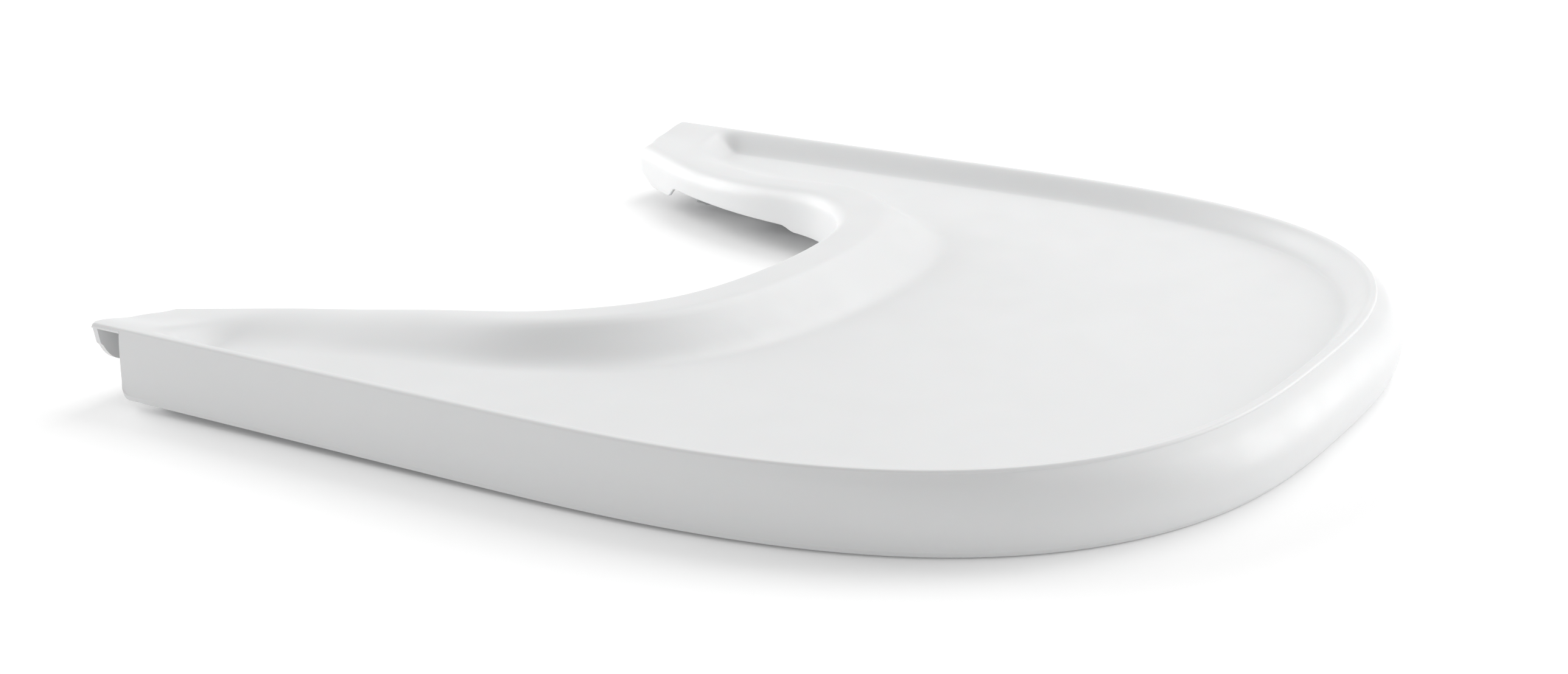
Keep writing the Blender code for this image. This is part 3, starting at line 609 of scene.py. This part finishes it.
def rib_mesh(x0, y0, x1, y1):
    """A straight rib under the floor: drafted sides, a round lower edge and a fillet at its root."""
    run = np.array((x1 - x0, y1 - y0))
    length = np.hypot(*run)
    run /= length
    side = np.array((-run[1], run[0]))
    half = RIB_THICKNESS / 2
    end_radius = 1.2
    rings = []
    for reach in (0.0, 0.4, end_radius, length - end_radius, length - 0.4, length):
        x, y = np.array((x0, y0)) + run * reach
        top = crest_z(y) - RECESS_DEPTH - SKIN + 0.6
        from_end = min(reach, length - reach, end_radius)
        low = RIB_BOTTOM_Z + end_radius - math.sqrt(end_radius ** 2 - (end_radius - from_end) ** 2)
        row = [(-half - 1.6, top), (-half - 1.4, top - 0.6), (-half - 0.55, top - 1.1), (-half, top - 2.2),
               (-half * 0.8, low + (top - RIB_BOTTOM_Z) * 0.12), (-half * 0.55, low + 0.15), (0.0, low)]
        row += [(-w, z) for w, z in reversed(row[:-1])]
        rings.append([(*(np.array((x, y)) + side * w), z) for w, z in row])
    return lofted("rib", rings)


def boss_mesh(x, y):
    """A screw boss: a hollow post with a fillet where it meets the underside."""
    root = underside_z(x, y)
    low = GUIDE_TOP_Z + GAP
    fillet_from = root - BOSS_FILLET
    profile = [(BOSS_HOLE, root - 1.2), (BOSS_HOLE, low + 0.4), (BOSS_HOLE + 0.3, low),
               (BOSS_RADIUS - 0.3, low), (BOSS_RADIUS, low + 0.3), (BOSS_RADIUS, fillet_from)]
    profile += [(BOSS_RADIUS + BOSS_FILLET * (1 - math.cos(a)), fillet_from + BOSS_FILLET * math.sin(a))
                for a in np.linspace(0.3, math.pi / 2, 5)]
    profile.append((BOSS_RADIUS + 1.4, root + 1.0))
    return turned(x, y, profile, 32)


def make_shell():
    finished("tray_moulding", shell_mesh(), "tray", "tray_plastic", "tray_shell")
    ribs = [rib_mesh(x, -30.0 - abs(x) * 0.1, x, -205.0 + abs(x) * 0.22) for x in RIB_XS]
    ribs += [rib_mesh(-CROSS_RIB_X, y, CROSS_RIB_X, y) for y in RIB_YS]
    finished("tray_ribs", joined("ribs", ribs), "tray", "tray_plastic")
    bosses = [boss_mesh(side * x, y) for side in (1, -1) for x, y in GUIDE_SCREWS]
    finished("tray_bosses", joined("bosses", bosses), "tray", "tray_plastic")


# ---------------------------------------------------------------- fittings under the arms

def capsule(start, end, radius, count=10):
    """A rod with round ends."""
    start, end = np.array(start, float), np.array(end, float)
    along = (end - start) / np.linalg.norm(end - start)
    side = np.cross(along, (0, 1, 0) if abs(along[1]) < 0.9 else (1, 0, 0))
    side /= np.linalg.norm(side)
    third = np.cross(along, side)
    turns = [2 * math.pi * i / count for i in range(count)]
    rings = []
    for centre, angles in ((start, (-math.pi / 2 + 0.2, 0)), (end, (0, math.pi / 2 - 0.2))):
        for a in np.linspace(*angles, 4):
            middle, r = centre + along * radius * math.sin(a), radius * math.cos(a)
            rings.append([tuple(middle + r * (math.cos(t) * side + math.sin(t) * third)) for t in turns])
    return lofted("capsule", rings)


def recess_cutters(x, y, head_radius, head_low):
    """Two crossed bars that taper upwards, for the recess in a screw's head."""
    reach, thick, deep = head_radius * 0.56, head_radius * 0.14, head_radius * 0.42
    corners = ((1, 1), (-1, 1), (-1, -1), (1, -1))
    cutters = []
    for dx, dy, taper_x, taper_y in ((reach, thick, 0.45, 0.8), (thick, reach, 0.8, 0.45)):
        low = [(x + sx * dx, y + sy * dy, head_low - 0.5) for sx, sy in corners]
        high = [(x + sx * dx * taper_x, y + sy * dy * taper_y, head_low + deep) for sx, sy in corners]
        cutter = bpy.data.objects.new("cutter", lofted("bar", [low, high]))
        bpy.context.scene.collection.objects.link(cutter)
        cutters.append(cutter)
    return cutters


def screw_mesh(x, y, head_top, head_radius, shank_radius, shank_top):
    """A pan-head screw driven upwards, with a cross recess in its head and a threaded shank."""
    head_low = head_top - head_radius * 0.6
    profile = [(head_radius * math.sin(a), head_top - 0.25 - (head_radius * 0.6 - 0.25) * math.cos(a) ** 0.8)
               for a in np.linspace(0.35, math.pi / 2, 9)]
    profile += [(head_radius, head_top - 0.1), (head_radius - 0.1, head_top), (shank_radius, head_top)]
    pitch = 0.8
    z = head_top + 0.6
    while z < shank_top - 1.4:
        profile += [(shank_radius, z), (shank_radius * 0.82, z + pitch * 0.5)]
        z += pitch
    profile += [(shank_radius, shank_top - 0.9), (shank_radius * 0.3, shank_top)]
    cutters = recess_cutters(x, y, head_radius, head_low)
    cuts = [("BOOLEAN", {"operation": "DIFFERENCE", "solver": "EXACT", "object": c}) for c in cutters]
    result = evaluated(turned(x, y, profile, 28), *cuts)
    for cutter in cutters:
        bpy.data.objects.remove(cutter)
    result.shade_smooth()
    result.set_sharp_from_angle(angle=math.radians(35))
    return result


def pin_mesh(x, y):
    low = COVER_Z0
    profile = [(1.2, low - 0.3), (1.75, low - 0.25), (2.0, low - 0.05), (2.2, low + 0.15),
               (2.2, GUIDE_TOP_Z + GAP), (3.8, GUIDE_TOP_Z + GAP), (4.0, GUIDE_TOP_Z + GAP + 0.2),
               (4.0, GUIDE_TOP_Z + 1.4), (3.8, GUIDE_TOP_Z + 1.75), (3.4, GUIDE_TOP_Z + 2.0)]
    return turned(x, y, profile)


def spring_mesh(side):
    """A compression spring with closed end coils, from the lever's seat to the guide's wall."""
    coil, wire, per_turn, sides = SPRING_COIL, SPRING_WIRE, 20, 10
    x0, x1 = SPRING_SEAT_X + GAP + wire, GUIDE_X0 - GAP - wire
    closed = 1.0 / SPRING_TURNS
    end = closed * (x1 - x0) * 0.36
    steps = int(SPRING_TURNS * per_turn)
    places = np.interp(np.arange(steps + 1) / steps, (0, closed, 1 - closed, 1), (x0, x0 + end, x1 - end, x1))
    angles = [2 * math.pi * i / per_turn for i in range(steps + 1)]
    centres = np.array([(x, SPRING_Y + coil * math.cos(a), SPRING_Z + coil * math.sin(a))
                        for x, a in zip(places, angles)])
    ahead = np.gradient(centres, axis=0)
    ahead /= np.linalg.norm(ahead, axis=1)[:, None]
    rings = []
    for centre, forward, angle in zip(centres, ahead, angles):
        radial = np.array((0.0, math.cos(angle), math.sin(angle)))
        third = np.cross(forward, radial)
        turns = [2 * math.pi * k / sides for k in range(sides)]
        ring = [centre + wire * (math.cos(t) * radial + math.sin(t) * third) for t in turns]
        rings.append([(side * x, y, z) for x, y, z in ring])
    return lofted("spring", rings, 60)


def tread_mesh(x0, x1, y0, y1, z0, z1, depth, pitch, edge=0.5):
    """A rubber strip with round edges and shallow grooves across its underside."""
    count = int((y1 - y0) / pitch * 6)
    stations = [y0 + (y1 - y0) * i / count for i in range(count + 1)]
    rows = []
    for y in stations:
        near_end = min(y - y0, y1 - y)
        inset = edge - math.sqrt(max(0.0, edge ** 2 - (edge - min(near_end, edge)) ** 2))
        groove = depth * (0.5 - 0.5 * math.cos(2 * math.pi * (y - y0) / pitch)) ** 3
        low, high = z0 + groove + inset, z1 - inset * 0.4
        left, right = x0 + inset, x1 - inset
        rows.append([(left + edge, y, low), (right - edge, y, low), (right - edge * 0.3, y, low + edge * 0.3),
                     (right, y, low + edge), (right, y, high - 0.2), (right - 0.2, y, high),
                     (left + 0.2, y, high), (left, y, high - 0.2), (left, y, low + edge),
                     (left + edge * 0.3, y, low + edge * 0.3)])
    return lofted("tread", rows, 50)


def box_of(node):
    """The node's box in millimetres, in the part's own frame: x0, x1, y0, y1, z0, z1."""
    (x0, y0, z0), (x1, y1, z1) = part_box(node)
    return (x0 / MM, x1 / MM, y0 / MM + ORIGIN_Y, y1 / MM + ORIGIN_Y, z0 / MM, z1 / MM)


def make_fittings(label, side):
    def node(part):
        return f"{label}_{part}"

    latch = label + "_latch"
    finished(node("guide_moulding"), rounded(node("rail_guide"), MOULDED_EDGE), "tray", "guide_plastic",
             node("rail_guide"))
    finished(node("cover_moulding"), rounded(node("latch_cover"), MOULDED_EDGE), "tray", "guide_plastic",
             node("latch_cover"))
    lever = [rounded(node("latch_lever"), SOFT_EDGE)]
    x = side * (PADDLE_X + PADDLE_RIDGE_SUNK)
    for y in np.arange(*PADDLE_RIDGES):
        lever.append(capsule((x, y, PADDLE_Z[0]), (x, y, PADDLE_Z[1]), PADDLE_RIDGE_RADIUS))
    finished(node("lever_moulding"), joined("lever", lever), latch, "lever_plastic", node("latch_lever"))
    finished(node("pivot_pin"), pin_mesh(side * PIVOT[0], PIVOT[1]), "tray", "steel", node("latch_pin"))
    spring = finished(node("return_spring"), spring_mesh(side), "tray", "steel", node("latch_spring"))
    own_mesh(spring)
    pad = tread_mesh(*box_of(node("rail_pad")), 0.3, 4.0, 0.4)
    finished(node("grip_pad"), pad, "tray", "rubber", node("rail_pad"))
    finished(node("end_stop"), rounded(node("rail_stop"), SOFT_EDGE), "tray", "rubber", node("rail_stop"))
    for i, y in enumerate(FOOT_YS, 1):
        tread = tread_mesh(*box_of(node(f"foot_{i}")), 0.5, 4.0)
        finished(node(f"foot_tread_{i}"), tread, "tray", "rubber", node(f"foot_{i}"))
    for i, (x, y) in enumerate(GUIDE_SCREWS, 1):
        mesh = screw_mesh(side * x, y, FLANGE_BOTTOM_Z - GAP, 3.3, 1.6, 20.0)
        finished(node(f"guide_screw_{i}_fine"), mesh, "tray", "steel", node(f"guide_screw_{i}"))
    for i, (x, y) in enumerate(COVER_POSTS, 1):
        mesh = screw_mesh(side * x, y, COVER_Z0 - GAP, 2.6, 1.2, GUIDE_TOP_Z - 0.4)
        finished(node(f"cover_screw_{i}_fine"), mesh, "tray", "steel", node(f"cover_screw_{i}"))


# ---------------------------------------------------------------- materials

def graph_of(name):
    made = bpy.data.materials.new(name)
    made.use_nodes = True
    tree = made.node_tree
    return made, tree, tree.nodes["Principled BSDF"]


def noise(tree, scale, detail=4.0, stretch=(1.0, 1.0, 1.0), roughness=0.55):
    """Noise in the piece's own metres; scale is in features per metre."""
    where = tree.nodes.new("ShaderNodeTexCoord")
    placed = tree.nodes.new("ShaderNodeMapping")
    placed.inputs["Scale"].default_value = stretch
    made = tree.nodes.new("ShaderNodeTexNoise")
    made.inputs["Scale"].default_value = scale
    made.inputs["Detail"].default_value = detail
    made.inputs["Roughness"].default_value = roughness
    tree.links.new(where.outputs["Object"], placed.inputs["Vector"])
    tree.links.new(placed.outputs["Vector"], made.inputs["Vector"])
    return made.outputs["Fac"]


def colour_band(tree, factor, stops):
    """Colour ramp; each stop is (place, value or colour)."""
    made = tree.nodes.new("ShaderNodeValToRGB")
    band = made.color_ramp
    for i, (place, value) in enumerate(stops):
        stop = band.elements[i] if i < 2 else band.elements.new(place)
        stop.position = place
        colour = value if isinstance(value, tuple) else (value, value, value)
        stop.color = (*colour, 1.0)
    tree.links.new(factor, made.inputs["Fac"])
    return made.outputs["Color"]


def bumped(tree, shader, layers):
    """Chains bump nodes; each layer is (height output, strength, distance in metres)."""
    normal = None
    for height, strength, distance in layers:
        bump = tree.nodes.new("ShaderNodeBump")
        bump.inputs["Strength"].default_value = strength
        bump.inputs["Distance"].default_value = distance
        tree.links.new(height, bump.inputs["Height"])
        if normal:
            tree.links.new(normal, bump.inputs["Normal"])
        normal = bump.outputs["Normal"]
    tree.links.new(normal, shader.inputs["Normal"])


def scaled(colour, share):
    return tuple(c * share for c in colour)


def moulded_plastic(name, colour, roughness, grain_height, mottle=0.02):
    """Satin moulded plastic: fine spark-eroded grain, faint flow streaks and roughness that varies in
    patches.
    """
    made, tree, shader = graph_of(name)
    streak = noise(tree, 14.0, 3.0, (1.0, 1.0, 5.0), 0.5)
    shade = colour_band(tree, streak, ((0.3, scaled(colour, 1.0 - mottle)), (0.7, colour)))
    tree.links.new(shade, shader.inputs["Base Color"])
    handling = noise(tree, 45.0, 5.0)
    worn = colour_band(tree, handling, ((0.35, roughness - 0.05), (0.7, roughness + 0.06)))
    tree.links.new(worn, shader.inputs["Roughness"])
    grain = noise(tree, 2400.0, 3.0, roughness=0.6)
    broad = noise(tree, 90.0, 2.0)
    bumped(tree, shader, ((grain, 0.35, grain_height), (broad, 0.12, 0.0004)))
    shader.inputs["IOR"].default_value = 1.49
    shader.inputs["Subsurface Weight"].default_value = 0.05
    shader.inputs["Subsurface Scale"].default_value = 0.002
    return made


def rubber(name):
    made, tree, shader = graph_of(name)
    dust = noise(tree, 160.0, 6.0)
    shade = colour_band(tree, dust, ((0.35, (0.035, 0.035, 0.037)), (0.75, (0.075, 0.074, 0.073))))
    tree.links.new(shade, shader.inputs["Base Color"])
    worn = colour_band(tree, dust, ((0.3, 0.72), (0.8, 0.9)))
    tree.links.new(worn, shader.inputs["Roughness"])
    bumped(tree, shader, ((noise(tree, 3200.0, 2.0), 0.5, 0.00006),))
    shader.inputs["Specular IOR Level"].default_value = 0.35
    return made


def plated_steel(name):
    """Zinc plate: a pale metal with fine tumbling marks."""
    made, tree, shader = graph_of(name)
    cloud = noise(tree, 500.0, 5.0)
    shade = colour_band(tree, cloud, ((0.35, (0.52, 0.53, 0.55)), (0.7, (0.66, 0.66, 0.66))))
    tree.links.new(shade, shader.inputs["Base Color"])
    worn = colour_band(tree, cloud, ((0.3, 0.24), (0.8, 0.4)))
    tree.links.new(worn, shader.inputs["Roughness"])
    bumped(tree, shader, ((noise(tree, 2600.0, 2.0, (1.0, 1.0, 0.2)), 0.3, 0.00003),))
    shader.inputs["Metallic"].default_value = 1.0
    return made


MATERIALS = {
    "tray_plastic": moulded_plastic("tray_plastic", (0.755, 0.760, 0.762), 0.42, 0.00005, 0.012),
    "guide_plastic": moulded_plastic("guide_plastic", (0.50, 0.51, 0.52), 0.48, 0.00006),
    "lever_plastic": moulded_plastic("lever_plastic", (0.20, 0.215, 0.23), 0.42, 0.00006),
    "rubber": rubber("rubber"),
    "steel": plated_steel("steel"),
}


# ---------------------------------------------------------------- floor, light and camera

FLOOR_SIZE = 24.0
FLOOR_GLOW = 0.08         # keeps the shadows on the white floor open
CAMERA_AIM = Vector((-0.0912, -0.0245, 0.0344))
CAMERA_DISTANCE = 1.0
CAMERA_AZIMUTH, CAMERA_ELEVATION, CAMERA_ROLL = -58.325, 17.877, 0.43
CAMERA_LENS = 53.1
WORLD_STRENGTH = 0.585
LIGHT_DISTANCE, LIGHT_SIZE = 2.2, 1.4
LIGHTS = (("top_softbox", 90.0, 50.0, 14.6), ("front_softbox", 45.0, 20.0, 23.0),
          ("back_softbox", 180.0, 20.0, 30.5))        # name, azimuth, elevation and watts


def direction(azimuth, elevation):
    """From the object towards the place at this azimuth and elevation, in degrees."""
    a, e = math.radians(azimuth), math.radians(elevation)
    return Vector((math.sin(a) * math.cos(e), -math.cos(a) * math.cos(e), math.sin(e)))


def make_floor():
    half = FLOOR_SIZE / 2
    mesh = bpy.data.meshes.new("floor")
    corners = [(-half, -half, 0), (half, -half, 0), (half, half, 0), (-half, half, 0)]
    mesh.from_pydata(corners, [], [(0, 1, 2, 3)])
    floor = bpy.data.objects.new("floor", mesh)
    bpy.context.scene.collection.objects.link(floor)
    made, tree, shader = graph_of("floor")
    shade = colour_band(tree, noise(tree, 3.0, 2.0), ((0.3, 0.95), (0.7, 0.965)))
    tree.links.new(shade, shader.inputs["Base Color"])
    shader.inputs["Roughness"].default_value = 0.9
    shader.inputs["Specular IOR Level"].default_value = 0.0
    shader.inputs["Emission Color"].default_value = (1.0, 1.0, 1.0, 1.0)
    shader.inputs["Emission Strength"].default_value = FLOOR_GLOW
    mesh.materials.append(made)


def make_light(name, azimuth, elevation, power):
    """A square softbox that looks at the tray."""
    data = bpy.data.lights.new(name, "AREA")
    data.shape = "SQUARE"
    data.size = LIGHT_SIZE
    data.energy = power
    light = bpy.data.objects.new(name, data)
    bpy.context.scene.collection.objects.link(light)
    towards = direction(azimuth, elevation)
    light.location = towards * LIGHT_DISTANCE
    light.rotation_euler = towards.to_track_quat("Z", "Y").to_euler()
    return light


def make_world():
    world = bpy.data.worlds.new("studio")
    world.use_nodes = True
    background = world.node_tree.nodes["Background"]
    background.inputs["Color"].default_value = (1.0, 1.0, 1.0, 1.0)
    background.inputs["Strength"].default_value = WORLD_STRENGTH
    bpy.context.scene.world = world


def make_camera():
    data = bpy.data.cameras.new("camera")
    data.lens = CAMERA_LENS
    data.sensor_width = 36.0
    data.sensor_fit = "HORIZONTAL"
    data.clip_start = 0.01
    camera = bpy.data.objects.new("camera", data)
    bpy.context.scene.collection.objects.link(camera)
    back = direction(CAMERA_AZIMUTH, CAMERA_ELEVATION)
    turn = back.to_track_quat("Z", "Y").to_matrix() @ Matrix.Rotation(math.radians(-CAMERA_ROLL), 3, "Z")
    camera.matrix_world = Matrix.Translation(CAMERA_AIM + back * CAMERA_DISTANCE) @ turn.to_4x4()
    bpy.context.scene.camera = camera


def main():
    make_camera()
    make_shell()
    make_fittings("right", 1)
    make_fittings("left", -1)
    make_floor()
    make_world()
    for light in LIGHTS:
        make_light(*light)
    bpy.context.scene.view_settings.view_transform = "Standard"


main()
